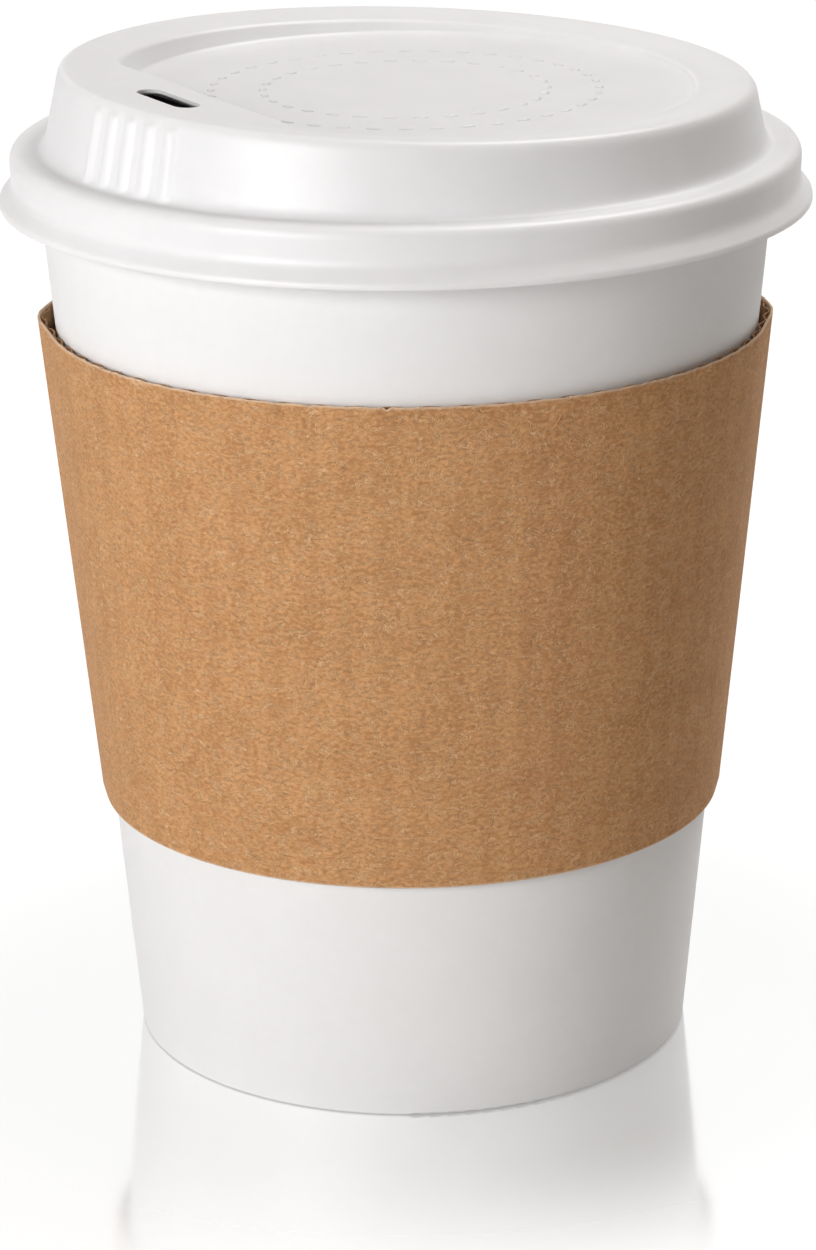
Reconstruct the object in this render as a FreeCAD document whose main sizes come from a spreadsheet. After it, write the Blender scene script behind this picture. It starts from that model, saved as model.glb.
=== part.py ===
import FreeCAD, Part
import math
import os
from types import SimpleNamespace

import Sketcher

# A single-wall paper cup with a corrugated kraft sleeve and a thermoformed travel lid.
# Millimetres, +Z up, the middle of the foot ring at the origin, the side that the photo shows at -Y.

ROWS = [
    ("cup_height", "108.5", "table to the top of the rolled rim"),
    ("foot_radius", "33.35", "outside of the wall at the table"),
    ("mouth_radius", "43.15", "outside of the wall, carried up to the rim top"),
    ("cup_board", "0.38", "thickness of the wall board"),
    ("rim_roll", "2.5", "diameter of the rolled rim"),
    ("foot_edge", "0.35", "rounding of the folded edge that stands on the table"),
    ("curl_turn", "240", "angle at which the curl ends, from the outside, in degrees"),
    ("base_height", "8.8", "upper face of the base disc above the table"),
    ("base_board", "0.36", "thickness of the base disc"),
    ("base_bend", "0.9", "outer bend radius between disc and skirt"),
    ("hem_drop", "1.4", "board folded up inside the foot ends this far below the bend"),
    ("paper_fit", "0.02", "glue line beside the skirt of the base disc"),
    ("seam_azimuth", "128", "middle of the side seam, in degrees from +X"),
    ("seam_width", "8", "width of the lapped side seam"),
    ("seam_step", "0.28", "how far the pressed lap stands proud"),
    ("seam_ramp", "4", "width over which the lapped board rises"),
    ("sleeve_foot", "30", "lower edge of the sleeve above the table"),
    ("sleeve_height", "58.3", "height of the sleeve"),
    ("sleeve_gap", "0.05", "clearance between sleeve and cup"),
    ("liner_board", "0.32", "thickness of the outer liner"),
    ("flute_sheet", "0.2", "thickness of the corrugated sheet"),
    ("flute_rise", "0.5", "height of its wave, middle to middle of the sheet"),
    ("flute_count", "64", "flutes round the sleeve"),
    ("flute_break", "2.5", "gap in the corrugated sheet under the lap"),
    ("glue_line", "0.02", "between the flute tips and the liner"),
    ("crease_round", "3", "inside radius of the two pressed creases"),
    ("left_ear", "1.15", "stand-off of the left crease at the top edge"),
    ("right_ear", "0.6", "stand-off of the right crease at the top edge"),
    ("foot_ear", "0.45", "stand-off of both creases at the lower edge"),
    ("lap_azimuth", "90", "middle of the glued lap of the sleeve, in degrees from +X"),
    ("lap_width", "12", "width of the glued lap of the sleeve"),
    ("lap_ramp", "6", "width over which the lapped liner rises"),
    ("lid_skin", "0.45", "thickness of the formed plastic"),
    ("lid_seat", "0.05", "gap between the rim and the inside of the bead, above"),
    ("lid_ease", "0.4", "gap between the rim and the inside of the bead, at the side"),
    ("skirt_drop", "6", "lower edge of the flange below the rim top"),
    ("flange_reach", "1.25", "flange beyond the bead"),
    ("flange_edge", "0.55", "height of the flange's upright edge"),
    ("groove_drop", "3.7", "groove under the bead, below the rim top"),
    ("groove_depth", "0.2", "depth of that groove from the bead"),
    ("bead_ease", "0.65", "outer radius of the bead beyond that of the rolled rim"),
    ("wall_inset", "2.157", "foot of the lid wall in from the middle of the bead"),
    ("wall_drop", "0.3", "that foot below the top of the bead"),
    ("foot_round", "0.7", "radius in the corner between bead and wall"),
    ("wall_draw", "1.75", "how far the lid wall leans in on its way to the crest"),
    ("crest_rise", "8.55", "mean height of the crest above the rim top"),
    ("crest_tilt", "1.86", "tilt of the crest, higher towards -X, in degrees"),
    ("crest_round", "1.5", "rounding of the crest's outer edge"),
    ("crest_land", "1.8", "level land of the crest, from the wall in"),
    ("deck_slope", "3.2", "width of the slope from that land down to the deck"),
    ("deck_fall", "0.55", "fall of the deck below the crest"),
    ("deck_width", "1.6", "width of the deck between that slope and the recess"),
    ("recess_depth", "0.66", "depth of the recess where the tilted deck is lowest"),
    ("recess_lean", "0.45", "run of the recess wall for each unit of rise"),
    ("recess_corner", "5", "corner radius where the recess turns to its straight side"),
    ("shoulder_round", "0.5", "rounding of the recess's upper edge"),
    ("floor_round", "0.35", "rounding along the recess's floor"),
    ("sip_azimuth", "213", "direction of the drinking slot, in degrees from +X"),
    ("sip_inset", "2", "middle of the slot in from the round shoulder of the recess"),
    ("sip_length", "11", "length of the slot"),
    ("sip_width", "3.2", "width of the slot"),
    ("sip_ledge", "3.5", "ledge between the slot and the straight side of the recess"),
    ("rib_azimuth", "221.5", "middle of the group of ribs, in degrees from +X"),
    ("rib_spread", "18.5", "angle between the first and the last rib"),
    ("rib_count", "5", "upright ribs on the lid wall"),
    ("rib_radius", "0.9", "radius of a rib"),
    ("rib_proud", "0.35", "how far a rib stands out of the wall"),
    ("rib_start", "0.35", "lower end of the ribs above the bead"),
    ("rib_stop", "1.4", "centre of a rib's round end below the mean crest"),
]

CLEAR = 2.0  # how far a cutting shape runs past what it cuts
SEARCH = 1.0  # how far to each side of its place an edge to be rounded is looked for
FINE = 0.2  # the same above and below the recess's floor, where edges lie close together


class Size:
    """A dimension that carries its sheet formula and its present value together."""

    def __init__(self, formula, value):
        self.formula = str(formula)
        self.value = float(value)

    def joined(self, sign, other, value):
        return Size(f"({self.formula} {sign} {other.formula})", value)

    def __add__(self, other):
        other = as_size(other)
        return self.joined("+", other, self.value + other.value)

    def __sub__(self, other):
        other = as_size(other)
        return self.joined("-", other, self.value - other.value)

    def __mul__(self, other):
        other = as_size(other)
        return self.joined("*", other, self.value * other.value)

    def __truediv__(self, other):
        other = as_size(other)
        return self.joined("/", other, self.value / other.value)


def as_size(item):
    return item if isinstance(item, Size) else Size(item, item)


def cosine(angle):
    return Size(f"cos({angle.formula} * 1 deg)", math.cos(math.radians(angle.value)))


def sine(angle):
    return Size(f"sin({angle.formula} * 1 deg)", math.sin(math.radians(angle.value)))


def arc_tangent(slope):
    return Size(f"atan({slope.formula}) / 1 deg", math.degrees(math.atan(slope.value)))


def root(area):
    return Size(f"sqrt({area.formula})", math.sqrt(area.value))


os.makedirs("parts", exist_ok=True)
doc = FreeCAD.newDocument("paper_cup")
sheet = doc.addObject("Spreadsheet::Sheet", "Sizes")
for row, (alias, value, meaning) in enumerate(ROWS, start=1):
    sheet.set(f"A{row}", alias)
    sheet.set(f"B{row}", value)
    sheet.set(f"C{row}", meaning)
    sheet.setAlias(f"B{row}", alias)
doc.recompute()
s = SimpleNamespace(**{row[0]: Size(f"Sizes.{row[0]}", row[1]) for row in ROWS})
ZERO = as_size(0)


def bind(feature, prop, size):
    """Sets a property from the sheet, and keeps it bound to the sheet."""
    feature.setExpression(prop, as_size(size).formula)


def origin_plane(body, role):
    return next(item for item in body.Origin.OriginFeatures if item.Role == role)


def new_sketch(body, name, role, rise=None, turn=None, axis=(0, 0, 1)):
    """A sketch on one of the body's own planes. The rise is (direction, size) in the sketch's own
    frame, and the turn is about one of its own axes."""
    sketch = body.newObject("Sketcher::SketchObject", name)
    sketch.AttachmentSupport = (origin_plane(body, role), [""])
    sketch.MapMode = "FlatFace"
    if turn is not None:
        rotation = FreeCAD.Rotation(FreeCAD.Vector(*axis), turn.value)
        sketch.AttachmentOffset = FreeCAD.Placement(FreeCAD.Vector(), rotation)
        bind(sketch, "AttachmentOffset.Rotation.Angle", turn)
    if rise is not None:
        bind(sketch, f"AttachmentOffset.Base.{rise[0]}", rise[1])
    return sketch


def place(sketch, kind, edge, point, distance):
    """Holds one point of an edge at a distance from the sketch's origin, across or up."""
    if distance.value == 0:
        axis = -2 if kind == "DistanceX" else -1
        sketch.addConstraint(Sketcher.Constraint("PointOnObject", edge, point, axis))
        return
    held = Sketcher.Constraint(kind, -1, 1, edge, point, distance.value)
    bind(sketch, f"Constraints[{sketch.addConstraint(held)}]", distance)


def draw(sketch, corners):
    """Draws a closed outline. A corner is (x, y), or (x, y, arc) where an arc leads on to the
    next corner, and an arc is (centre x, centre y, +1 for anticlockwise or -1)."""
    ends = []
    for index, corner in enumerate(corners):
        following = corners[(index + 1) % len(corners)]
        start = FreeCAD.Vector(corner[0].value, corner[1].value, 0)
        stop = FreeCAD.Vector(following[0].value, following[1].value, 0)
        if len(corner) == 2:
            sketch.addGeometry(Part.LineSegment(start, stop))
            ends.append((1, 2))
            continue
        centre_x, centre_y, sense = corner[2]
        centre = FreeCAD.Vector(centre_x.value, centre_y.value, 0)
        circle = Part.Circle(centre, FreeCAD.Vector(0, 0, 1), centre.distanceToPoint(start))
        first, last = (start, stop) if sense > 0 else (stop, start)
        span = (circle.parameter(first), circle.parameter(last))
        edge = sketch.addGeometry(Part.ArcOfCircle(circle, *span))
        ends.append((1, 2) if sense > 0 else (2, 1))
        place(sketch, "DistanceY", edge, 3, centre_y)
    for index, corner in enumerate(corners):
        before = index - 1 if index else len(corners) - 1
        join = Sketcher.Constraint("Coincident", before, ends[before][1], index, ends[index][0])
        sketch.addConstraint(join)
        place(sketch, "DistanceX", index, ends[index][0], corner[0])
        place(sketch, "DistanceY", index, ends[index][0], corner[1])


def turned(body, kind, name, sketch, axis="V_Axis"):
    """A full turn of a sketch about its own upright axis, or another, added or cut away."""
    feature = body.newObject(kind, name)
    feature.Profile = sketch
    feature.ReferenceAxis = (sketch, [axis])
    feature.Angle = 360
    doc.recompute()
    return feature


def edges_in(shape, near, far, low, high):
    """Names of the edges that lie wholly between two radii and two heights."""
    names = []
    for index, edge in enumerate(shape.Edges, start=1):
        points = edge.discretize(Number=9)
        spans = [(near < math.hypot(p.x, p.y) < far) and (low < p.z < high) for p in points]
        if all(spans):
            names.append(f"Edge{index}")
    return names


def rounded(body, name, radius, near, far, low, high):
    """Rounds the edges found between two radii and two heights."""
    base = body.Tip
    fillet = body.newObject("PartDesign::Fillet", name)
    fillet.Base = (base, edges_in(base.Shape, near, far, low, high))
    bind(fillet, "Radius", radius)
    doc.recompute()


def wall_radius(level):
    """Outside radius of the cup's cone at a height."""
    return s.foot_radius + (s.mouth_radius - s.foot_radius) / s.cup_height * level


# Foot fold and rim roll, which the wall, the base disc and the lid all share

FOLD_GAP = s.base_board + s.paper_fit * 2
FOLD_ROUND = FOLD_GAP / 2 + s.cup_board
ROLL_RADIUS = s.rim_roll / 2
ROLL_LEVEL = s.cup_height - ROLL_RADIUS
ROLL_CENTRE = wall_radius(ROLL_LEVEL) - s.cup_board + ROLL_RADIUS
RIM_RADIUS = ROLL_CENTRE + ROLL_RADIUS


def ruled_solid(name, lower, upper):
    """A solid between two closed lines, with straight sides from one to the other."""
    ends = []
    for suffix, wire in (("_lower", lower), ("_upper", upper)):
        end = doc.addObject("Part::Feature", name + suffix)
        end.Shape = wire
        ends.append(end)
    loft = doc.addObject("Part::Loft", name)
    loft.Sections = ends
    loft.Solid = True
    loft.Ruled = True
    doc.recompute()
    return loft


def polar(radius, angle, level):
    return FreeCAD.Vector(radius * math.cos(angle), radius * math.sin(angle), level)


def lap_line(radius, level, azimuth, width, ramp, board, proud):
    """Plan of a lapped strip: a raw edge, the lap, and a ramp down to the board it laps."""
    middle = math.radians(azimuth)
    half = width / 2 / radius
    edge = middle - half
    crown = middle + half
    toe = crown + ramp / radius
    outer = radius + proud
    inner = radius - board / 2
    edges = [
        Part.LineSegment(polar(inner, edge, level), polar(outer, edge, level)),
        Part.Arc(polar(outer, edge, level), polar(outer, middle, level), polar(outer, crown, level)),
        Part.LineSegment(polar(outer, crown, level), polar(inner, toe, level)),
        Part.Arc(polar(inner, toe, level), polar(inner, middle, level), polar(inner, edge, level)),
    ]
    return Part.Wire([edge.toShape() for edge in edges])


def fused(name, base, tool):
    feature = doc.addObject("Part::Fuse", name)
    feature.Base = base
    feature.Tool = tool
    doc.recompute()
    return feature


def difference(name, base, tool):
    feature = doc.addObject("Part::Cut", name)
    feature.Base = base
    feature.Tool = tool
    doc.recompute()
    return feature


def make_sidewall():
    """The wrapped blank: cone, rolled rim, foot folded in and up, and the lapped side seam."""
    body = doc.addObject("PartDesign::Body", "wall_cone")
    sketch = new_sketch(body, "wall_section", "XZ_Plane")
    foot = wall_radius(FOLD_ROUND)
    fold_centre = foot - FOLD_ROUND
    outer_foot = wall_radius(s.foot_edge)
    inner_foot = outer_foot - s.cup_board * 2 - FOLD_GAP
    hem_top = s.base_height - s.base_bend - s.hem_drop
    hem_face = wall_radius(hem_top) - s.cup_board - FOLD_GAP
    curl = ROLL_RADIUS - s.cup_board
    tip_x = cosine(s.curl_turn)
    tip_y = sine(s.curl_turn)
    draw(sketch, [
        (outer_foot, s.foot_edge),
        (ROLL_CENTRE - curl, ROLL_LEVEL, (ROLL_CENTRE, ROLL_LEVEL, -1)),
        (ROLL_CENTRE + curl * tip_x, ROLL_LEVEL + curl * tip_y),
        (ROLL_CENTRE + ROLL_RADIUS * tip_x, ROLL_LEVEL + ROLL_RADIUS * tip_y,
         (ROLL_CENTRE, ROLL_LEVEL, 1)),
        (ROLL_CENTRE - ROLL_RADIUS, ROLL_LEVEL),
        (foot - s.cup_board, FOLD_ROUND, (fold_centre, FOLD_ROUND, -1)),
        (foot - s.cup_board - FOLD_GAP, FOLD_ROUND),
        (hem_face, hem_top),
        (hem_face - s.cup_board, hem_top),
        (inner_foot, s.foot_edge, (inner_foot + s.foot_edge, s.foot_edge, 1)),
        (inner_foot + s.foot_edge, ZERO),
        (outer_foot - s.foot_edge, ZERO, (outer_foot - s.foot_edge, s.foot_edge, 1)),
    ])
    turned(body, "PartDesign::Revolution", "wall_turn", sketch)
    top = ROLL_LEVEL - ROLL_RADIUS
    ends = []
    for level in (FOLD_ROUND, top):
        ends.append(lap_line(
            wall_radius(level).value, level.value, s.seam_azimuth.value, s.seam_width.value,
            s.seam_ramp.value, s.cup_board.value, s.seam_step.value,
        ))
    strip = ruled_solid("side_seam", *ends)
    return fused("cup_sidewall", body, strip)


def make_base_disc():
    """The pan-shaped disc, its skirt turned down into the fold of the foot."""
    body = doc.addObject("PartDesign::Body", "cup_base_disc")
    sketch = new_sketch(body, "base_section", "XZ_Plane")
    inset = s.cup_board + s.paper_fit
    bend_level = s.base_height - s.base_bend
    corner = wall_radius(bend_level) - inset
    bend_centre = corner - s.base_bend
    skirt_foot = FOLD_ROUND + s.paper_fit
    draw(sketch, [
        (ZERO, s.base_height),
        (ZERO, s.base_height - s.base_board),
        (bend_centre, s.base_height - s.base_board, (bend_centre, bend_level, -1)),
        (corner - s.base_board, bend_level),
        (wall_radius(skirt_foot) - inset - s.base_board, skirt_foot),
        (wall_radius(skirt_foot) - inset, skirt_foot),
        (corner, bend_level, (bend_centre, bend_level, 1)),
        (bend_centre, s.base_height),
    ])
    turned(body, "PartDesign::Revolution", "base_turn", sketch)
    return body


# The sleeve: lines round the cup at a height, standing off it towards the two creases

def crease_points(front, rear, ear, offset, side):
    """Tangent points of one crease: off the front arc, round the crease, on to the rear arc."""
    reach = front + ear
    lead = math.acos(front / reach)
    trail = math.acos(rear / reach)
    ahead = FreeCAD.Vector(math.cos(lead), -math.sin(lead), 0)
    behind = FreeCAD.Vector(math.cos(trail), math.sin(trail), 0)
    bend = s.crease_round.value
    near, far = front - bend, rear - bend
    spread = math.sin(lead + trail)
    centre = FreeCAD.Vector(
        (near * math.sin(trail) + far * math.sin(lead)) / spread,
        (far * math.cos(lead) - near * math.cos(trail)) / spread, 0,
    )
    middle = (ahead + behind).normalize()
    points = [
        ahead * (front + offset),
        centre + ahead * (bend + offset),
        centre + middle * (bend + offset),
        centre + behind * (bend + offset),
        behind * (rear + offset),
    ]
    return [FreeCAD.Vector(side * p.x, p.y, 0) for p in points]


def sleeve_edges(at_top, offset, gap=0.0):
    """Edges of the sleeve's plan line at its upper or lower end, from the lap round to the lap.
    The gap opens the line there."""
    level = s.sleeve_foot + s.sleeve_height if at_top else s.sleeve_foot
    front = wall_radius(level).value + s.sleeve_gap.value
    rear = front + s.seam_step.value
    left_ear = s.left_ear if at_top else s.foot_ear
    right_ear = s.right_ear if at_top else s.foot_ear
    right = crease_points(front, rear, right_ear.value, offset, 1)
    left = crease_points(front, rear, left_ear.value, offset, -1)
    outer = rear + offset
    lap = math.radians(s.lap_azimuth.value)
    half_gap = gap / 2 / outer
    start, stop = polar(outer, lap - half_gap, 0), polar(outer, lap + half_gap, 0)
    before = polar(outer, (lap - half_gap + math.atan2(right[4].y, right[4].x)) / 2, 0)
    after = polar(outer, (lap + half_gap + math.atan2(left[4].y, left[4].x)) / 2, 0)
    edges = [
        Part.Arc(start, before, right[4]),
        Part.LineSegment(right[4], right[3]),
        Part.Arc(right[3], right[2], right[1]),
        Part.LineSegment(right[1], right[0]),
        Part.Arc(right[0], FreeCAD.Vector(0, -front - offset, 0), left[0]),
        Part.LineSegment(left[0], left[1]),
        Part.Arc(left[1], left[2], left[3]),
        Part.LineSegment(left[3], left[4]),
        Part.Arc(left[4], after, stop),
    ]
    wire = Part.Wire([edge.toShape() for edge in edges])
    wire.translate(FreeCAD.Vector(0, 0, level.value))
    return wire


BOARD_CORE = s.flute_sheet + s.flute_rise + s.glue_line


def make_liner():
    """The smooth outer liner of the sleeve, creased twice, with its glued lap at the back."""
    inner = BOARD_CORE.value
    outer = inner + s.liner_board.value
    skin = ruled_solid("liner_outside", sleeve_edges(False, outer), sleeve_edges(True, outer))
    hollow = ruled_solid("liner_inside", sleeve_edges(False, inner), sleeve_edges(True, inner))
    ring = difference("liner_ring", skin, hollow)
    ends = []
    for level in (s.sleeve_foot, s.sleeve_foot + s.sleeve_height):
        radius = wall_radius(level).value + s.sleeve_gap.value + s.seam_step.value + outer
        ends.append(lap_line(
            radius, level.value, s.lap_azimuth.value, s.lap_width.value, s.lap_ramp.value,
            s.liner_board.value, s.liner_board.value + s.flute_sheet.value,
        ))
    strip = ruled_solid("liner_lap", *ends)
    return fused("sleeve_liner", ring, strip)


def wave_line(at_top):
    """Plan of the corrugated sheet: equal arcs, bowed out and in by turns along the sleeve,
    with both faces at half the sheet's thickness from the middle line."""
    sheet_half = s.flute_sheet.value / 2
    swing = s.flute_rise.value / 2
    count = round(s.flute_count.value)
    quarters = 4 * count
    path = sleeve_edges(at_top, sheet_half + swing, s.flute_break.value)
    stations = path.discretize(Number=quarters + 1)
    up = FreeCAD.Vector(0, 0, 1)
    faces = {1: [], -1: []}
    slope = 2 * math.atan(2 * swing / (path.Length / count / 2))
    for index, point in enumerate(stations):
        along = stations[min(index + 1, quarters)] - stations[max(index - 1, 0)]
        along.normalize()
        out = along.cross(up) * -1
        bow = {1: 1, 3: -1}.get(index % 4)
        climb = 1 if index % 4 == 0 else -1
        for side, line in faces.items():
            if bow:
                line.append(point + out * (bow * swing + side * sheet_half))
            else:
                lean = out * math.cos(slope) - along * (climb * math.sin(slope))
                line.append(point + lean * (side * sheet_half))
    outer, inner = faces[1], faces[-1]
    bows = [Part.Arc(*outer[i:i + 3]).toShape() for i in range(0, quarters, 2)]
    returns = [Part.Arc(*inner[i:i + 3]).toShape() for i in range(0, quarters, 2)]
    first = Part.LineSegment(inner[0], outer[0]).toShape()
    last = Part.LineSegment(outer[-1], inner[-1]).toShape()
    return Part.Wire([first] + bows + [last] + returns[::-1])


def make_fluting():
    """The corrugated sheet, its flutes running up the cup."""
    return ruled_solid("sleeve_fluting", wave_line(False), wave_line(True))


# The lid, from the rolled rim that it snaps over up to its tilted crest

BEAD_TOP = s.cup_height + s.lid_seat + s.lid_skin
BEAD_RADIUS = RIM_RADIUS + s.lid_ease + s.lid_skin
BEAD_ROUND = ROLL_RADIUS + s.bead_ease
BEAD_MIDDLE = BEAD_RADIUS - BEAD_ROUND
WALL_RADIUS = BEAD_MIDDLE - s.wall_inset
WALL_LEVEL = BEAD_TOP - s.wall_drop
CREST_RADIUS = WALL_RADIUS - s.wall_draw
CREST_LEVEL = s.cup_height + s.crest_rise
CREST_SLOPE = sine(s.crest_tilt) / cosine(s.crest_tilt)
WALL_LEAN = s.wall_draw / (CREST_LEVEL - WALL_LEVEL)
LAND_RADIUS = CREST_RADIUS - s.crest_land
DECK_RADIUS = LAND_RADIUS - s.deck_slope
DECK_LEVEL = CREST_LEVEL - s.deck_fall
RECESS_RADIUS = DECK_RADIUS - s.deck_width
RECESS_FLOOR = DECK_LEVEL - RECESS_RADIUS * CREST_SLOPE - s.recess_depth
SIP_RADIUS = RECESS_RADIUS - s.sip_inset
LEDGE_RADIUS = SIP_RADIUS - s.sip_width / 2 - s.sip_ledge


def lid_wall_radius(level):
    """Outside radius of the leaning wall of the lid at a height."""
    return WALL_RADIUS - WALL_LEAN * (level - WALL_LEVEL)


def lid_blank(name, inset, base_drop):
    """The full form of the lid before its top is shaped, drawn in all over by the inset."""
    body = doc.addObject("PartDesign::Body", name)
    edge = BEAD_RADIUS + s.flange_reach - inset
    bead_level = BEAD_TOP - BEAD_ROUND
    flare = inset / 2
    low = s.cup_height - s.skirt_drop - base_drop
    summit = CREST_LEVEL + s.crest_round + CLEAR
    profile = new_sketch(body, name + "_section", "XZ_Plane")
    draw(profile, [
        (ZERO, low),
        (edge, low),
        (edge, s.cup_height - s.skirt_drop + s.flange_edge - flare),
        (BEAD_RADIUS - s.groove_depth - inset, s.cup_height - s.groove_drop - flare),
        (BEAD_RADIUS - inset, bead_level, (BEAD_MIDDLE, bead_level, 1)),
        (BEAD_MIDDLE, BEAD_TOP - inset),
        (WALL_RADIUS - inset, WALL_LEVEL - inset),
        (lid_wall_radius(summit) - inset, summit),
        (ZERO, summit),
    ])
    turned(body, "PartDesign::Revolution", name + "_turn", profile)
    return body


def shape_top(body, name, inset):
    """Cuts the recess, which is round with a straight side by the drinking slot, and trims the
    top to the tilted crest with its falling deck."""
    floor = RECESS_FLOOR - inset
    grow = inset - s.recess_lean * inset
    shrink = s.recess_lean * (DECK_LEVEL - RECESS_FLOOR) - grow
    foot = RECESS_RADIUS - shrink
    chord = LEDGE_RADIUS - shrink
    corner = s.recess_corner + grow
    side = chord - corner
    half = root((foot - corner) * (foot - corner) - side * side)
    touch = foot / (foot - corner)
    outline = new_sketch(body, name + "_recess", "XY_Plane", ("z", floor), s.sip_azimuth - 90)
    draw(outline, [
        (half, chord),
        (ZERO - half, chord, (ZERO - half, side, 1)),
        (ZERO - half * touch, side * touch, (ZERO, ZERO, 1)),
        (half * touch, side * touch, (half, side, 1)),
    ])
    hollow = body.newObject("PartDesign::Pocket", name + "_hollow")
    hollow.Profile = outline
    hollow.Reversed = True
    bind(hollow, "Length", CREST_LEVEL + s.crest_round + CLEAR * 2 - floor)
    bind(hollow, "TaperAngle", arc_tangent(s.recess_lean))
    doc.recompute()

    tilt = ZERO - s.crest_tilt
    top = new_sketch(body, name + "_top", "XZ_Plane", ("y", CREST_LEVEL - inset), tilt)
    wide = WALL_RADIUS + CLEAR
    high = s.crest_round + CLEAR * 2 + wide * CREST_SLOPE
    draw(top, [
        (ZERO, ZERO - s.deck_fall),
        (DECK_RADIUS, ZERO - s.deck_fall),
        (LAND_RADIUS, ZERO),
        (wide, ZERO),
        (wide, high),
        (ZERO, high),
    ])
    turned(body, "PartDesign::Groove", name + "_crest", top)


def add_ribs(body):
    """A group of upright ribs on the wall beside the drinking slot, round in section and
    rounded at the top."""
    lean = arc_tangent(WALL_LEAN)
    depth = s.rib_radius - s.rib_proud
    low = BEAD_TOP + s.rib_start
    across, up = cosine(lean), sine(lean)
    foot_x = lid_wall_radius(low) - depth
    head_y = CREST_LEVEL - s.rib_stop
    head_x = lid_wall_radius(head_y) - depth
    azimuth = s.rib_azimuth - s.rib_spread / 2
    sketch = new_sketch(body, "rib_section", "XZ_Plane", None, azimuth, (0, 1, 0))
    draw(sketch, [
        (foot_x, low),
        (foot_x + s.rib_radius * across, low + s.rib_radius * up),
        (head_x + s.rib_radius * across, head_y + s.rib_radius * up, (head_x, head_y, 1)),
        (head_x - s.rib_radius * up, head_y + s.rib_radius * across),
    ])
    core = [FreeCAD.Vector(foot_x.value, low.value, 0), FreeCAD.Vector(head_x.value, head_y.value, 0)]
    line = sketch.addGeometry(Part.LineSegment(*core), True)
    for end, x, y in ((1, foot_x, low), (2, head_x, head_y)):
        place(sketch, "DistanceX", line, end, x)
        place(sketch, "DistanceY", line, end, y)
    rib = turned(body, "PartDesign::Revolution", "rib", sketch, "Axis0")
    pattern = body.newObject("PartDesign::PolarPattern", "ribs")
    pattern.Originals = [rib]
    pattern.Axis = (origin_plane(body, "Z_Axis"), [""])
    bind(pattern, "Angle", s.rib_spread)
    bind(pattern, "Occurrences", s.rib_count)
    body.Tip = pattern
    doc.recompute()


def cut_slot(body):
    """The round-ended drinking slot through the platform."""
    sketch = new_sketch(body, "slot_outline", "XY_Plane", ("z", CREST_LEVEL + CLEAR), s.sip_azimuth)
    half = (s.sip_length - s.sip_width) / 2
    near = SIP_RADIUS - s.sip_width / 2
    far = SIP_RADIUS + s.sip_width / 2
    draw(sketch, [
        (far, ZERO - half),
        (far, half, (SIP_RADIUS, half, 1)),
        (near, half),
        (near, ZERO - half, (SIP_RADIUS, ZERO - half, 1)),
    ])
    slot = body.newObject("PartDesign::Pocket", "slot")
    slot.Profile = sketch
    bind(slot, "Length", s.deck_fall + s.lid_skin + CLEAR * 2)
    doc.recompute()


def make_lid():
    """One formed skin: the outside form less the same form drawn in by the skin."""
    outside = lid_blank("lid_outside", ZERO, ZERO)
    shape_top(outside, "outside", ZERO)
    swing = WALL_RADIUS.value * CREST_SLOPE.value + SEARCH
    crest = CREST_LEVEL.value
    edge = (CREST_RADIUS.value - SEARCH, WALL_RADIUS.value, crest - swing, crest + swing)
    rounded(outside, "crest_edge", s.crest_round, *edge)
    foot, level = WALL_RADIUS.value, WALL_LEVEL.value
    rounded(outside, "wall_foot", s.foot_round, foot - SEARCH, foot + SEARCH,
            level - SEARCH, level + SEARCH)
    near, far = LEDGE_RADIUS.value - CLEAR, RECESS_RADIUS.value + SEARCH
    floor = RECESS_FLOOR.value
    rounded(outside, "recess_shoulder", s.shoulder_round, near, far, floor + FINE, crest + swing)
    rounded(outside, "recess_corner", s.floor_round, near, far, floor - FINE, floor + FINE)
    add_ribs(outside)
    cut_slot(outside)
    inside = lid_blank("lid_inside", s.lid_skin, s.lid_skin)
    shape_top(inside, "inside", s.lid_skin)
    rounded(inside, "crest_lining", s.crest_round - s.lid_skin, *edge)
    return difference("lid", outside, inside)


sidewall = make_sidewall()
base_disc = make_base_disc()
liner = make_liner()
fluting = make_fluting()
lid = make_lid()

pieces = {
    "cup_sidewall": sidewall,
    "cup_base_disc": base_disc,
    "sleeve_liner": liner,
    "sleeve_fluting": fluting,
    "lid": lid,
}

doc.recompute()
for item in doc.Objects:
    if "Invalid" in item.State or "Error" in item.State:
        raise RuntimeError(f"{item.Name} failed: {item.State}")
for name, piece in pieces.items():
    piece.Label = name
    shape = piece.Shape
    if shape.isNull() or not shape.isValid() or len(shape.Solids) != 1:
        raise RuntimeError(f"{name} is not one valid solid")
for name, piece in pieces.items():
    piece.Shape.exportStep(f"parts/{name}.step")
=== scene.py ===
"""A paper coffee cup with a corrugated kraft sleeve and a thermoformed travel lid, dressed over
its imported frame, on a pale studio floor. Surfaces are worked out in millimetres and made in
metres."""

import math

import bpy
import numpy as np
from bpy.props import FloatProperty, FloatVectorProperty, IntProperty, PointerProperty
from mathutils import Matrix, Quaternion, Vector


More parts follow.
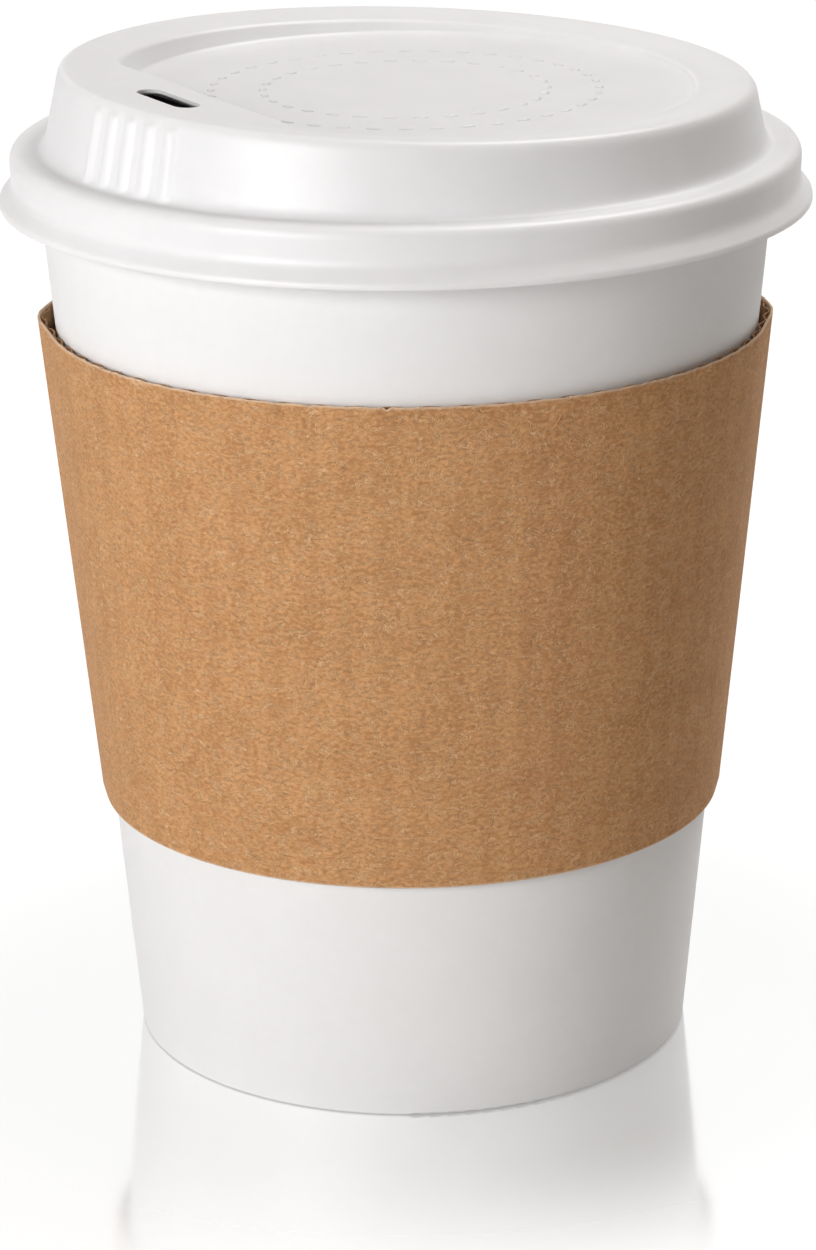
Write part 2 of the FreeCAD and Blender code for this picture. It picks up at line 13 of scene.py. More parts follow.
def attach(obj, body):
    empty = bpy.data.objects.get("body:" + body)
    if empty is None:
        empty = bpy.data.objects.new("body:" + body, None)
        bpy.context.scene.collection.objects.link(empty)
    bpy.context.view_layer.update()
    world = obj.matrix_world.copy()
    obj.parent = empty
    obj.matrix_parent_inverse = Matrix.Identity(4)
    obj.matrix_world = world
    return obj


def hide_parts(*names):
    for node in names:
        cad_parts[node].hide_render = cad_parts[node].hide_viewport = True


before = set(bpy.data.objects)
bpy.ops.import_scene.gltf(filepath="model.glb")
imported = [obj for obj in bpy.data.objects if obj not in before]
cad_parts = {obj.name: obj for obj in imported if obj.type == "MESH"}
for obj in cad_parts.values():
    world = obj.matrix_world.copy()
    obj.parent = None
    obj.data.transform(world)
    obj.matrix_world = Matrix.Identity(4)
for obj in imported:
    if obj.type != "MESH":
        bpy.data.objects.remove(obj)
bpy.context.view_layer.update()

bl_info = {
    "name": "Paper Coffee Cup",
    "version": (1, 0, 0),
    "blender": (4, 5, 0),
    "location": "3D View > Sidebar > Coffee Cup",
    "description": "Dresses a lidded paper cup and its kraft sleeve, and sets its studio",
    "category": "Object",
}

MM = 0.001

# Heights and radii of the frame that the new surfaces follow, in millimetres
FOOT_RADIUS, TAPER, RIM_TOP = 33.35, 9.8 / 108.5, 108.5
APEX_REACH = FOOT_RADIUS / TAPER
SLEEVE_FOOT, SLEEVE_TOP, SLEEVE_GAP, SEAM_STEP = 30.0, 88.3, 0.05, 0.28
FRONT_MEAN = FOOT_RADIUS + TAPER * (SLEEVE_FOOT + SLEEVE_TOP) / 2
CREASE_ROUND, LEFT_EAR, RIGHT_EAR, FOOT_EAR = 14.0, 1.5, 0.9, 0.53
FLUTES, FLUTE_SHEET, FLUTE_RISE, FLUTE_BREAK = 64, 0.2, 0.5, 2.5
LINER_INNER, LINER_BOARD, LAP_PROUD, LAP_RAMP = 0.72, 0.32, 0.52, 6.0
BEAD_RADIUS, BEAD_TOP, WALL_RADIUS, WALL_FOOT = 46.007, 109.0, 41.95, 108.7
FLANGE_REACH, SKIRT_DROP, FLANGE_EDGE, GROOVE_DEPTH, GROOVE_DROP = 1.25, 6.0, 0.55, 0.2, 3.7
CREST_RADIUS, CREST_LEVEL, CREST_SLOPE = 40.2, 117.03, math.tan(math.radians(1.86))
WALL_LEAN = (WALL_RADIUS - CREST_RADIUS) / (CREST_LEVEL - WALL_FOOT)
LAND_RADIUS, DECK_RADIUS, DECK_FALL = 38.4, 35.2, 0.55
RECESS, LEDGE, RECESS_LEAN, RECESS_FLOOR, RECESS_CORNER = 33.6, 26.5, 0.45, 114.75, 5.79
LID_SKIN = 0.45

# Kraft: its darkest and palest grain, and its two layers of threads as (scale, turn, bend)
KRAFT_DARK, KRAFT_LIGHT = (0.68, 0.62, 0.56), (1.10, 1.12, 1.13)
KRAFT_THREADS = (((620.0, 1250.0, 1.0), 0.12, 0.9), ((900.0, 1300.0, 1.0), -0.55, 1.3))

# Corner eases of the lid's profile, from the flange up and in, with the points on each arc
LID_EASES = ((0.3, 0.3), (0.8, 0.8), (1.75, 1.75), (1.0, 1.6), (1.45, 1.3), (1.3, 1.3),
             (1.3, 1.0), (0.6, 0.6), (0.7, 3.4))
LID_STEPS = (5, 7, 12, 9, 12, 7, 7, 8, 8)
ARCS_BELOW_WALL, WALL_ROWS, FLOOR_ROWS = 4, 12, 8
FLOOR_SHARE, HUB_SHARE, EASE_LIMIT = 0.55, 0.06, 0.49

# Ribs: half width, ridge shape, and where they fade in at the foot and out under the crest
RIB_HALF, RIB_SHAPE, RIB_START, RIB_STOP = 1.15, 1.3, (0.1, 1.0), (1.45, 0.55)
FINE_HALF, FINE_COLUMNS, COARSE_COLUMNS = math.radians(12.5), 150, 330

# Raised pips: radius and number in each ring, half length, half width, and how deep they start
PIP_RINGS, PIP_LONG, PIP_WIDE, PIP_SUNK = ((22.5, 40), (16.5, 30)), 0.95, 0.5, 0.02
PIP_ROWS, PIP_SIDES, PIP_CAP, PIP_SHAPE = 5, 14, 0.12, 0.9

# The liner's edge: worn corners, a settled rim, waves as (size, pace, start), and one nick
WORN, EDGE_SETTLE, EDGE_DEPTH, RAGGED_SHARE = 0.07, 0.06, 0.96, 0.6
RAGGED = ((0.05, 1.9, 0.0), (0.035, 4.7, 1.0), (0.03, 11.3, 0.0))
NICK_PLACE, NICK_DEPTH, NICK_HALF = 2.7, 0.30, 0.26
LINER_ROWS, CUT_DEPTH = 15, 0.3
FLUTE_POINTS, FLUTE_CLEAR = 20, (0.15, 0.2)

# Three fibres with set places: azimuth in degrees, depth below the edge, length, tilt, lift
NAMED_FIBRES = np.array(((265.6, 0.45, 1.0, 0.9, 0.3), (267.6, 2.0, 3.0, 0.22, 0.25),
                         (292.5, 3.0, 3.0, 1.0, 0.2)))
NAMED_RADIUS, FIBRE_STEPS, FIBRE_SIDES, FIBRE_SEED = 0.06, 7, 3, 12
EDGE_SHARE, FIBRE_BOW, FIBRE_SUNK, FIBRE_POINT = 0.7, 0.06, 0.01, 0.02

# The studio, in metres: floor run, its upturn, lamps as (place, aim, size, colour), and camera
FLOOR_START, FLOOR_BEND, BEND_RADIUS, WALL_HEIGHT, HALF_WIDTH = -2.5, 1.6, 0.9, 4.0, 4.0
FLOOR_WHITE_SHARE, MIRROR_FADE, MIRROR_ROUGH = 0.7, (0.084, 0.045), 0.10
WHITE = (1.0, 1.0, 1.0, 1.0)
SKY = (1.0, 0.86, 0.73, 1.0)
LAMPS = {
    "key": ((-0.62, -0.77, 0.33), (0, 0, 0.06), 0.5, (1.0, 1.0, 1.0)),
    "side": ((-0.95, 0.30, 0.36), (0, 0, 0.06), 0.4, (1.0, 1.0, 1.0)),
    "top": ((0.32, 0.30, 0.90), (0, 0, 0.1), 0.5, (1.0, 0.99, 0.98)),
}
SENSOR_WIDTH, NEAR_CLIP, SIDE_SHIFT, PHOTO_HEIGHT = 36.0, 0.05, -1.803, 1250


class CupLooks(bpy.types.PropertyGroup):
    paper: FloatVectorProperty(
        name="Paper", description="Colour of the coated white board",
        default=(0.855, 0.856, 0.865), subtype="COLOR", min=0.0, max=1.0)
    grain: FloatProperty(
        name="Grain", description="Size of the mottling in the coated board",
        default=1.4 * MM, unit="LENGTH", precision=5)


class SleeveLooks(bpy.types.PropertyGroup):
    kraft: FloatVectorProperty(
        name="Kraft", description="Colour of the kraft liner",
        default=(0.615, 0.328, 0.149), subtype="COLOR", min=0.0, max=1.0)
    fibre: FloatVectorProperty(
        name="Pale Fibre", description="Colour of the pale fibres on the liner",
        default=(0.76, 0.50, 0.29), subtype="COLOR", min=0.0, max=1.0)
    fleck: FloatVectorProperty(
        name="Dark Fleck", description="Colour of the dark flecks in the liner",
        default=(0.27, 0.12, 0.05), subtype="COLOR", min=0.0, max=1.0)
    edge: FloatVectorProperty(
        name="Cut Edge", description="Colour of the liner's cut edges",
        default=(0.82, 0.62, 0.45), subtype="COLOR", min=0.0, max=1.0)
    medium: FloatVectorProperty(
        name="Fluting", description="Colour of the corrugated sheet inside the sleeve",
        default=(0.47, 0.27, 0.14), subtype="COLOR", min=0.0, max=1.0)
    lap: FloatProperty(
        name="Lap", description="Width of the glued lap", default=12 * MM, unit="LENGTH",
        precision=5)
    fibres: IntProperty(
        name="Loose Fibres", description="Loose fibres on the liner", default=130, min=3)


class LidLooks(bpy.types.PropertyGroup):
    plastic: FloatVectorProperty(
        name="Plastic", description="Colour of the white lid",
        default=(0.84, 0.84, 0.855), subtype="COLOR", min=0.0, max=1.0)
    gloss: FloatProperty(
        name="Roughness", description="Roughness of the lid's satin skin",
        default=0.36, min=0.0, max=1.0, subtype="FACTOR")
    rib_count: IntProperty(
        name="Ribs", description="Upright ribs beside the slot", default=5, min=2)
    rib_azimuth: FloatProperty(
        name="Rib Azimuth", description="Middle of the group of ribs, from +X",
        default=math.radians(221.5), subtype="ANGLE")
    rib_spread: FloatProperty(
        name="Rib Spread", description="From the first rib to the last",
        default=math.radians(18.5), subtype="ANGLE")
    rib_proud: FloatProperty(
        name="Rib Height", description="How far a rib stands out of the wall",
        default=0.45 * MM, unit="LENGTH", precision=6)
    slot_azimuth: FloatProperty(
        name="Slot Azimuth", description="Direction of the drinking slot, from +X",
        default=math.radians(213.0), subtype="ANGLE")
    slot_radius: FloatProperty(
        name="Slot Radius", description="From the cup's axis to the middle of the slot",
        default=31.6 * MM, unit="LENGTH", precision=5)
    slot_length: FloatProperty(
        name="Slot Length", description="Length of the drinking slot",
        default=11 * MM, unit="LENGTH", precision=5)
    slot_width: FloatProperty(
        name="Slot Width", description="Width of the drinking slot",
        default=3.2 * MM, unit="LENGTH", precision=5)
    pip_height: FloatProperty(
        name="Pip Height", description="Height of the raised pips on the lid's floor",
        default=0.22 * MM, unit="LENGTH", precision=6)


class StageLooks(bpy.types.PropertyGroup):
    distance: FloatProperty(
        name="Camera Distance", description="From the cup's axis to the camera, along the floor",
        default=502.38 * MM, unit="LENGTH", precision=5)
    height: FloatProperty(
        name="Camera Height", description="Height of the camera above the floor",
        default=216.77 * MM, unit="LENGTH", precision=5)
    target: FloatProperty(
        name="Aim Height", description="Height on the cup's axis that the camera looks at",
        default=49.26 * MM, unit="LENGTH", precision=5)
    lens: FloatProperty(
        name="Focal Length", description="Lens in millimetres on a 36 mm sensor",
        default=126.61, min=10.0)
    roll: FloatProperty(
        name="Roll", description="Turn of the camera about its own axis",
        default=-0.009, subtype="ANGLE", precision=5)
    key: FloatProperty(
        name="Key Lamp", description="Power of the broad lamp on the left, in watts",
        default=7.6, min=0.0)
    side: FloatProperty(
        name="Side Lamp", description="Power of the lamp behind on the left, in watts",
        default=0.6, min=0.0)
    top: FloatProperty(
        name="Top Lamp", description="Power of the lamp overhead, in watts",
        default=5.7, min=0.0)
    fill: FloatProperty(
        name="Fill", description="Strength of the even light from all round",
        default=0.19, min=0.0)
    mirror: FloatProperty(
        name="Mirror", description="Share of the floor's look that is a mirror image",
        default=0.72, min=0.0, max=1.0, subtype="FACTOR")
    glow: FloatProperty(
        name="Floor White", description="What lifts the floor to white for the camera alone",
        default=1.285, min=0.0)
    floor: FloatVectorProperty(
        name="Floor", description="Colour of the studio floor",
        default=(0.58, 0.575, 0.57), subtype="COLOR", min=0.0, max=1.0)


class Wire:
    """A socket of a node tree, with the arithmetic that a number of its kind needs."""

    def __init__(self, tree, socket):
        self.tree = tree
        self.socket = socket

    def math(self, operation, *others):
        return self.tree.node("ShaderNodeMath", {"operation": operation}, [self, *others])

    def __add__(self, other):
        return self.math("ADD", other)

    def __sub__(self, other):
        return self.math("SUBTRACT", other)

    def __mul__(self, other):
        return self.math("MULTIPLY", other)

    __radd__ = __add__


class Tree:
    """A node tree, and the one method that adds nodes to it."""

    def __init__(self, tree):
        self.nodes = tree.nodes
        self.links = tree.links

    def node(self, kind, settings=None, values=(), output=0):
        """Adds a node: its settings first, then the values or wires of its sockets, by their
        order or by their names, and gives back the output that is asked for."""
        made = self.nodes.new(kind)
        for key, value in (settings or {}).items():
            setattr(made, key, value)
        pairs = values.items() if isinstance(values, dict) else enumerate(values)
        for key, value in pairs:
            if isinstance(value, Wire):
                self.links.new(value.socket, made.inputs[key])
            else:
                made.inputs[key].default_value = value
        return Wire(self, made.outputs[output])

    def larger(self, first, second):
        return self.node("ShaderNodeMath", {"operation": "MAXIMUM"}, [first, second])

    def seen_white(self):
        """One for the camera and for what mirrors or passes its view, none for plain light."""
        kinds = ("Is Camera Ray", "Is Glossy Ray", "Is Transmission Ray")
        seen, mirrored, passed = (self.node("ShaderNodeLightPath", output=k) for k in kinds)
        return seen, self.larger(self.larger(seen, mirrored), passed)


class Finish(Tree):
    """A material whose surface is one shader with its fixed values set on the shader itself."""

    def __init__(self, name, **fixed):
        self.material = bpy.data.materials.new(name)
        self.material.use_nodes = True
        super().__init__(self.material.node_tree)
        self.shader = self.nodes["Principled BSDF"]
        for socket, value in fixed.items():
            self.shader.inputs[socket.replace("_", " ")].default_value = value
        self.place = self.node("ShaderNodeTexCoord", output="Object")

    def noise(self, place, scale, detail=3.0, rough=0.5, distort=0.0):
        """A cloud of even noise about one half, in cells of 1 / scale."""
        return self.node("ShaderNodeTexNoise", None, {
            "Vector": place, "Scale": scale, "Detail": detail, "Roughness": rough,
            "Distortion": distort}, "Fac")

    def stretch(self, place, scale, turn=(0.0, 0.0, 0.0)):
        return self.node("ShaderNodeMapping", None, {
            "Vector": place, "Scale": scale, "Rotation": turn}, "Vector")

    def band(self, value, low, high, start=0.0, stop=1.0):
        """Maps a value from low..high to start..stop along a smooth step."""
        return self.node("ShaderNodeMapRange", {"interpolation_type": "SMOOTHSTEP"},
                         [value, low, high, start, stop], "Result")

    def blend(self, share, first, second):
        """Mixes two colours. The Mix node keeps its colour sockets at inputs 6 and 7 and at
        output 2."""
        first, second = (c if isinstance(c, Wire) else (*c, 1.0) for c in (first, second))
        return self.node("ShaderNodeMix", {"data_type": "RGBA"},
                         {0: share, 6: first, 7: second}, 2)

    def bump(self, height, distance, strength=1.0):
        return self.node("ShaderNodeBump", None, {
            "Height": height, "Distance": distance, "Strength": strength}, "Normal")

    def feed(self, **wires):
        for socket, wire in wires.items():
            self.links.new(wire.socket, self.shader.inputs[socket.replace("_", " ")])
        return self.material


def tint(colour, factors):
    return tuple(channel * factor for channel, factor in zip(colour, factors))


def coated_paper(cup):
    """White coated board: even, with a faint cloud of fibre under the coating."""
    paper = Finish("coated_white_board", Specular_IOR_Level=0.42)
    cloud = paper.noise(paper.place, 1 / (9 * cup.grain), 3.0, 0.6)
    grain = paper.noise(paper.place, 1 / cup.grain, 4.0, 0.65)
    tooth = paper.noise(paper.place, 3.5 / cup.grain, 2.0, 0.7)
    shade = tint(cup.paper, (0.97, 0.968, 0.965))
    colour = paper.blend(paper.band(cloud * 0.6 + grain * 0.4, 0.35, 0.7), shade, cup.paper)
    rough = 0.43 + grain * 0.16
    height = grain * 0.7 + tooth * 0.3
    return paper.feed(Base_Color=colour, Roughness=rough,
                      Normal=paper.bump(height, 0.03 * MM, 0.55))


def kraft_board(sleeve):
    """Brown kraft liner. Winding fibres are the thin bands where a stretched noise crosses one
    half, over a fine grain and a faint cloud. They lie along the flat sheet, and its cut edges
    are paler. A faint painted shade of the flutes under the flat liner rises and falls across it."""
    kraft = Finish("kraft_liner", Specular_IOR_Level=0.12)
    chart = kraft.node("ShaderNodeTexCoord", output="UV")
    cut = kraft.node("ShaderNodeAttribute", {"attribute_name": "cut"}, output="Fac")
    wave = kraft.node("ShaderNodeAttribute", {"attribute_name": "wave"}, output="Fac")
    cloud = kraft.noise(chart, 150.0, 4.0, 0.62)
    grain = kraft.noise(kraft.stretch(chart, (1700.0, 2600.0, 1.0)), 1.0, 3.0, 0.6, 0.5)
    patch = kraft.noise(kraft.stretch(chart, (600.0, 850.0, 1.0)), 1.0, 3.0, 0.6, 0.5)
    half_width = 0.04
    threads = []
    for size, turn, bend in KRAFT_THREADS:
        wander = kraft.noise(kraft.stretch(chart, size, (0.0, 0.0, turn)), 1.0, 2.0, 0.5, bend)
        off = (wander - 0.5).math("ABSOLUTE")
        threads.append(kraft.band(off, half_width, 0.0) * kraft.band(patch, 0.45, 0.56))
    fibre = kraft.larger(*threads)
    # Phase of the flutes under the liner: in the colour it is painted shade of their ridges, in
    # the bump their relief
    flute = (wave * (2 * math.pi)).math("SINE")
    dark = tint(sleeve.kraft, KRAFT_DARK)
    light = tint(sleeve.kraft, KRAFT_LIGHT)
    grey = grain * 0.6 + patch * 0.22 + cloud * 0.18 + flute * 0.012
    tone = kraft.blend(kraft.band(grey, 0.36, 0.64), dark, light)
    tone = kraft.blend(fibre * 0.6, tone, sleeve.fibre)
    tone = kraft.blend(kraft.band(grain, 0.33, 0.20, 0.0, 0.7), tone, sleeve.fleck)
    tone = kraft.blend(cut * 0.8, tone, sleeve.edge)
    height = grain * 0.4 + fibre * 0.45 + patch * 0.15 + flute * 0.06
    return kraft.feed(Base_Color=tone, Roughness=0.56 + grain * 0.22,
                      Normal=kraft.bump(height, 0.16 * MM, 0.85))


def kraft_medium(sleeve):
    """Darker unbleached sheet of the fluting, mottled all ways."""
    kraft = Finish("kraft_fluting", Specular_IOR_Level=0.2)
    mottle = kraft.noise(kraft.place, 900.0, 4.0, 0.7)
    dark = tint(sleeve.medium, (0.7, 0.7, 0.7))
    tone = kraft.blend(kraft.band(mottle, 0.35, 0.68), dark, sleeve.medium)
    return kraft.feed(Base_Color=tone, Roughness=0.8 + mottle * 0.15,
                      Normal=kraft.bump(mottle, 0.08 * MM, 0.7))


def kraft_thread(sleeve):
    """Pale single fibres, with a little cloud so that no two look alike."""
    thread = Finish("kraft_thread", Specular_IOR_Level=0.3)
    cloud = thread.noise(thread.place, 700.0, 2.0, 0.5)
    tone = thread.blend(thread.band(cloud, 0.35, 0.65), sleeve.kraft, sleeve.fibre)
    return thread.feed(Base_Color=tone, Roughness=0.6 + cloud * 0.3)


def satin_plastic(lid):
    """White formed plastic: satin, slightly clouded where the skin has stretched."""
    skin = Finish("satin_white_plastic", Specular_IOR_Level=0.5, IOR=1.49,
                  Subsurface_Weight=0.35, Subsurface_Scale=0.8 * MM,
                  Subsurface_Radius=(1.0, 0.9, 0.85))
    cloud = skin.noise(skin.place, 90.0, 3.0, 0.55)
    tooth = skin.noise(skin.place, 2600.0, 2.0, 0.5)
    shade = tint(lid.plastic, (0.965, 0.965, 0.965))
    colour = skin.blend(skin.band(cloud, 0.3, 0.7), shade, lid.plastic)
    return skin.feed(Base_Color=colour, Roughness=lid.gloss + cloud * 0.08,
                     Normal=skin.bump(tooth, 0.006 * MM, 0.5))


def dress(node, material):
    """Gives a node of the frame its finish in every slot."""
    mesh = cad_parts[node].data
    mesh.materials.clear()
    mesh.materials.append(material)


def mesh_object(name, points, faces, material):
    """A smooth mesh object at the origin, from points in metres."""
    mesh = bpy.data.meshes.new(name)
    mesh.from_pydata(points.reshape(-1, 3), [], faces)
    mesh.materials.append(material)
    mesh.shade_smooth()
    mesh.update()
    made = bpy.data.objects.new(name, mesh)
    bpy.context.scene.collection.objects.link(made)
    return made


def grid_faces(rows, columns, round_rows=False, round_columns=False):
    """Four-sided faces of a grid of points, joined up along either way where it is round."""
    index = np.arange(rows * columns).reshape(rows, columns)
    if round_rows:
        index = np.concatenate([index, index[:1]], 0)
    if round_columns:
        index = np.concatenate([index, index[:, :1]], 1)
    faces = np.stack([index[:-1, :-1], index[:-1, 1:], index[1:, 1:], index[1:, :-1]], -1)
    return faces.reshape(-1, 4).tolist()


def heading(angle):
    """Unit vectors at some angles from +X."""
    return np.stack([np.cos(angle), np.sin(angle)], -1)


def smooth_step(value, low, high):
    """0 up to low, 1 from high, and a smooth S between them."""
    part = np.clip((value - low) / (high - low), 0.0, 1.0)
    return part * part * (3 - 2 * part)


def add_attribute(made, name, values):
    attribute = made.data.attributes.new(name, "FLOAT", "POINT")
    attribute.data.foreach_set("value", np.asarray(values, np.float32).ravel())


def add_chart(made, chart):
    """Gives a mesh the flat coordinates of its points, in metres, as its UV map."""
    corners = np.empty(len(made.data.loops), np.int32)
    made.data.loops.foreach_get("vertex_index", corners)
    layer = made.data.uv_layers.new(name="flat_blank")
    layer.data.foreach_set("uv", chart.reshape(-1, 2)[corners].astype(np.float32).ravel())


def crease(front, rear, ear, side):
    """The pressed crease between the front arc and the rear arc of the sleeve: the angles at
    which its two straight runs leave the arcs, and its centre. Each run is a tangent from a
    point that stands off the cup by the ear."""
    reach = front + ear
    lead, trail = math.acos(front / reach), math.acos(rear / reach)
    near, far = front - CREASE_ROUND, rear - CREASE_ROUND
    spread = math.sin(lead + trail)
    centre = np.array([
        side * (near * math.sin(trail) + far * math.sin(lead)) / spread,
        (far * math.cos(lead) - near * math.cos(trail)) / spread])
    return lead, trail, centre


def sleeve_plan(level, left_ear, right_ear, sleeve):
    """The sleeve's inner line at one level, clockwise from under the lap to the raw edge on top
    of it. Each arc is its centre plus its radius times the heading, and the straight runs are
    what joins one arc to the next. Returns the points and the angles of their headings."""
    front = FOOT_RADIUS + TAPER * level + SLEEVE_GAP
    rear = front + SEAM_STEP
    lead_r, trail_r, centre_r = crease(front, rear, right_ear, 1)
    lead_l, trail_l, centre_l = crease(front, rear, left_ear, -1)
    half_lap = sleeve.lap / MM / 2 / rear
    top = math.pi / 2
    runs = (
        (np.zeros(2), rear, top + half_lap, trail_r, 90),
        (centre_r, CREASE_ROUND, trail_r, -lead_r, 18),
        (np.zeros(2), front, -lead_r, lead_l - math.pi, 460),
        (centre_l, CREASE_ROUND, lead_l - math.pi, -trail_l - math.pi, 18),
        (np.zeros(2), rear, -trail_l - math.pi, top - half_lap - 2 * math.pi, 130),
    )
    points, headings = [], []
    for centre, radius, start, stop, count in runs:
        angle = np.linspace(start, stop, count)
        points.append(centre + radius * heading(angle))
        headings.append(angle)
    return np.concatenate(points), np.concatenate(headings)


def sleeve_edges(sleeve):
    """The plan lines of the sleeve's lower and upper edges, their headings, the mean of these,
    and the mean distance along them."""
    low, low_turn = sleeve_plan(SLEEVE_FOOT, FOOT_EAR, FOOT_EAR, sleeve)
    high, high_turn = sleeve_plan(SLEEVE_TOP, LEFT_EAR, RIGHT_EAR, sleeve)
    spans = np.linalg.norm(np.diff(low + high, axis=0), axis=1) / 2
    along = np.concatenate([[0.0], np.cumsum(spans)])
    return low, high, low_turn, high_turn, (low_turn + high_turn) / 2, along


def liner_section(height):
    """The liner's section, once round from its inner lower corner: pairs of a share of its
    thickness and a share of its height, closer together near the edges."""
    worn = WORN / height
    close = np.array((WORN, 0.3, 1.5)) / height
    up = np.linspace(0.0, 1.0, LINER_ROWS)[1:-1]
    face = np.concatenate([close, up, 1 - close[::-1]])
    slip = [(0.0, worn), (0.3, 0.0), (0.7, 0.0)]
    slip += [(1.0, share) for share in face]
    slip += [(0.7, 1.0), (0.3, 1.0), (0.0, 1 - worn), (0.0, 0.5)]
    return np.array(slip)


def form_liner(sleeve, material):
    """The smooth liner of the sleeve, wrapped once round with its end glued over its start. A
    point is the plan line, ruled from the lower edge to the upper, plus its heading times its
    place in the board. The upper edge falls by small sine waves and one bell-shaped nick."""
    low, high, low_turn, high_turn, angle, along = sleeve_edges(sleeve)
    toe = math.pi / 2 + sleeve.lap / MM / 2 / FRONT_MEAN - 2 * math.pi
    raised = LAP_PROUD * smooth_step(-angle, -toe - LAP_RAMP / FRONT_MEAN, -toe)
    height = SLEEVE_TOP - SLEEVE_FOOT
    slip = liner_section(height)
    middle = np.interp(-math.pi / 2, angle[::-1], along[::-1])
    place = along - middle
    ragged = sum(size * np.sin(place * pace + start) for size, pace, start in RAGGED)
    nick = NICK_DEPTH * np.exp(-((place - NICK_PLACE) / NICK_HALF) ** 2)
    flat_share = slip[:, 1][:, None]
    fall = (EDGE_SETTLE + ragged * RAGGED_SHARE + nick) / height
    share = flat_share - fall * smooth_step(flat_share, EDGE_DEPTH, 1.0)
    depth = LINER_INNER + raised[None, :] + slip[:, 0][:, None] * LINER_BOARD
    base = low[None] * (1 - share[..., None]) + high[None] * share[..., None]
    head = heading(angle[None] + (high_turn - low_turn)[None] * (share - 0.5))
    flat = base + head * depth[..., None]
    rise = SLEEVE_FOOT + height * share
    points = np.concatenate([flat, rise[..., None]], -1) * MM
    rows, columns = rise.shape
    faces = grid_faces(rows, columns, round_rows=True)
    ends = np.arange(rows) * columns
    faces += [ends.tolist(), (ends + columns - 1)[::-1].tolist()]
    liner = mesh_object("sleeve_liner_board", points, faces, material)
    slant = APEX_REACH + SLEEVE_FOOT + height * share
    turn = -place[None, :] / (APEX_REACH + SLEEVE_FOOT + height / 2) * np.ones_like(share)
    chart = np.stack([slant * np.sin(turn), slant * np.cos(turn)], -1) * MM
    add_chart(liner, chart)
    edge = np.minimum(flat_share, 1 - flat_share) * height
    raw_end = np.arange(columns)[None, :] >= columns - 1
    add_attribute(liner, "cut", np.maximum(1 - smooth_step(edge, 0.0, CUT_DEPTH), raw_end))
    # Phase of the flutes along the liner; its material paints faint shade of the flutes from it
    # and bumps their relief
    wave = place[None, :] / (place[-1] - place[0]) * FLUTES
    add_attribute(liner, "wave", wave * np.ones_like(share))
    return liner


def form_fluting(sleeve, material):
    """The corrugated sheet inside the liner. Its middle line is the plan line plus its heading
    times a cosine wave, and its two faces lie half a sheet to either side, ruled from the
    lower edge of the sleeve to the upper."""
    low, high, low_turn, high_turn, angle, along = sleeve_edges(sleeve)
    gap = (sleeve.lap / MM / 2 + FLUTE_BREAK) / FRONT_MEAN
    stop = np.interp(-(math.pi / 2 + gap - 2 * math.pi), -angle, along)
    place = np.linspace(0.0, stop, FLUTES * FLUTE_POINTS + 1)
    wave = FLUTE_RISE / 2 * np.cos(place / stop * 2 * math.pi * FLUTES)
    below, above = SLEEVE_FOOT + FLUTE_CLEAR[0], SLEEVE_TOP - FLUTE_CLEAR[1]
    rings = []
    for plan, turn, level in ((low, low_turn, below), (high, high_turn, above)):
        base = np.stack([np.interp(place, along, plan[:, axis]) for axis in (0, 1)], -1)
        out = heading(np.interp(place, along, turn))
        line = base + out * ((FLUTE_SHEET + FLUTE_RISE) / 2 + wave)[:, None]
        run = np.gradient(line, axis=0)
        side = np.stack([-run[:, 1], run[:, 0]], -1) / np.linalg.norm(run, axis=1)[:, None]
        for share in (-0.5, 0.5):
            flat = line + side * FLUTE_SHEET * share
            rings.append(np.column_stack([flat, np.full(len(flat), level)]))
    points = np.stack([rings[1], rings[0], rings[2], rings[3]]) * MM
    columns = len(place)
    faces = grid_faces(4, columns, round_rows=True)
    ends = np.arange(4) * columns
    faces += [ends.tolist(), (ends + columns - 1)[::-1].tolist()]
    made = mesh_object("sleeve_fluted_sheet", points, faces, material)
    made.data.set_sharp_from_angle(angle=math.radians(50))
    return made


